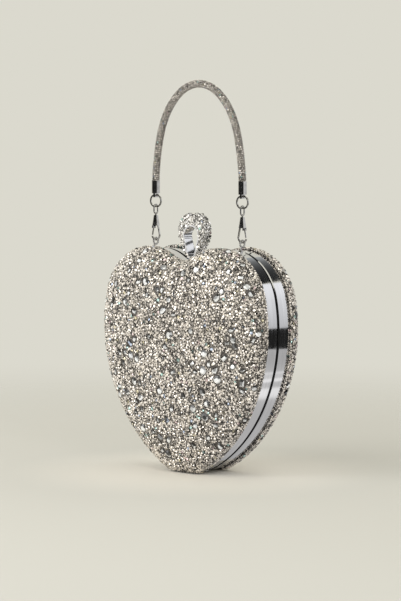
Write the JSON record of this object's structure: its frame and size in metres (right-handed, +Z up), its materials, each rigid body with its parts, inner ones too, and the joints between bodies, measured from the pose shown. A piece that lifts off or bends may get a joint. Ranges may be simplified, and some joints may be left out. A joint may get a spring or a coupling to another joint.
{
  "type": "heart shaped purse",
  "caption": "Hard-case evening purse, heart shaped, with stone-set domed halves on chrome frames, a finger ring clasp in the notch, and a short rope handle on snap hooks.",
  "frame": {"origin": "on the ground under the middle of the case, in the parting plane of the two halves", "axes": "+X to the viewer's right, +Y to the back half, +Z up from the tip to the notch"},
  "size_m": [0.1534, 0.0668, 0.2698],
  "materials": {
    "stones": "faceted clear stones with silver backs, set close on a grey base",
    "stone_rope": "rows of small faceted stones on a round cord",
    "shell": "moulded grey plastic",
    "lining": "silver grey satin weave",
    "chrome": "polished plating",
    "fitting_chrome": "polished wire",
    "inner_steel": "pressed steel"
  },
  "bodies": {
    "front_half": {"front_stone_cover": "stones", "front_shell": "shell", "front_lining": "lining", "front_frame": "chrome", "front_hinge_leaf": "inner_steel", "front_hinge_rivets": "inner_steel", "left_eyelet": "chrome", "right_eyelet": "chrome", "clasp_bracket": "inner_steel", "clasp_pin": "inner_steel", "clasp_spring": "inner_steel"},
    "back_half": {"back_stone_cover": "stones", "back_shell": "shell", "back_lining": "lining", "back_frame": "chrome", "back_hinge_leaf": "inner_steel", "back_hinge_rivets": "inner_steel", "hinge_pin": "inner_steel", "clasp_keeper": "inner_steel"},
    "clasp": {"clasp_lever": "chrome", "clasp_ring_cover": "stones"},
    "strap": {"strap": "stone_rope", "left_cap": "fitting_chrome", "right_cap": "fitting_chrome"},
    "left_swivel": {"left_swivel_eye": "fitting_chrome"},
    "left_hook": {"left_hook": "fitting_chrome"},
    "left_gate": {"left_gate": "fitting_chrome"},
    "left_link": {"left_ring": "fitting_chrome"},
    "right_swivel": {"right_swivel_eye": "fitting_chrome"},
    "right_hook": {"right_hook": "fitting_chrome"},
    "right_gate": {"right_gate": "fitting_chrome"},
    "right_link": {"right_ring": "fitting_chrome"}
  },
  "joints": [
    {"name": "lid_hinge", "type": "hinge", "parent": "front_half", "child": "back_half", "pos_m": [0, 0, 0.00175], "axis": [-1, 0, 0], "range_deg": [0, 85]},
    {"name": "clasp_tilt", "type": "hinge", "parent": "front_half", "child": "clasp", "pos_m": [0, -0.004, 0.13766], "axis": [1, 0, 0], "range_deg": [0, 12], "deforming": ["clasp_spring"]},
    {"name": "left_swing", "type": "hinge", "parent": "front_half", "child": "left_swivel", "pos_m": [-0.04211, -0.0006, 0.15838], "axis": [1, 0, 0], "range_deg": [-75, 75]},
    {"name": "left_hook_turn", "type": "hinge", "parent": "left_swivel", "child": "left_hook", "pos_m": [-0.04211, -0.0006, 0.174], "axis": [0, 0, 1], "range_deg": [-25, 25]},
    {"name": "left_gate_press", "type": "hinge", "parent": "left_hook", "child": "left_gate", "pos_m": [-0.04426, -0.0006, 0.16808], "axis": [0, -1, 0], "range_deg": [0, 22]},
    {"name": "left_ring_tilt", "type": "hinge", "parent": "left_swivel", "child": "left_link", "pos_m": [-0.04211, -0.0006, 0.18238], "axis": [1, 0, 0], "range_deg": [-25, 25]},
    {"name": "right_swing", "type": "hinge", "parent": "front_half", "child": "right_swivel", "pos_m": [0.04211, -0.0006, 0.15838], "axis": [1, 0, 0], "range_deg": [-75, 75]},
    {"name": "right_hook_turn", "type": "hinge", "parent": "right_swivel", "child": "right_hook", "pos_m": [0.04211, -0.0006, 0.174], "axis": [0, 0, 1], "range_deg": [-25, 25]},
    {"name": "right_gate_press", "type": "hinge", "parent": "right_hook", "child": "right_gate", "pos_m": [0.04426, -0.0006, 0.16808], "axis": [0, 1, 0], "range_deg": [0, 22]},
    {"name": "right_ring_tilt", "type": "hinge", "parent": "right_swivel", "child": "right_link", "pos_m": [0.04211, -0.0006, 0.18238], "axis": [1, 0, 0], "range_deg": [-25, 25]},
    {"name": "strap_tilt", "type": "hinge", "parent": "left_link", "child": "strap", "pos_m": [-0.04211, -0.0006, 0.19038], "axis": [1, 0, 0], "range_deg": [-50, 50]}
  ],
  "couplings": [
    {"joint": "right_swing", "follows": "left_swing", "ratio": 1},
    {"joint": "right_ring_tilt", "follows": "left_ring_tilt", "ratio": 1}
  ]
}
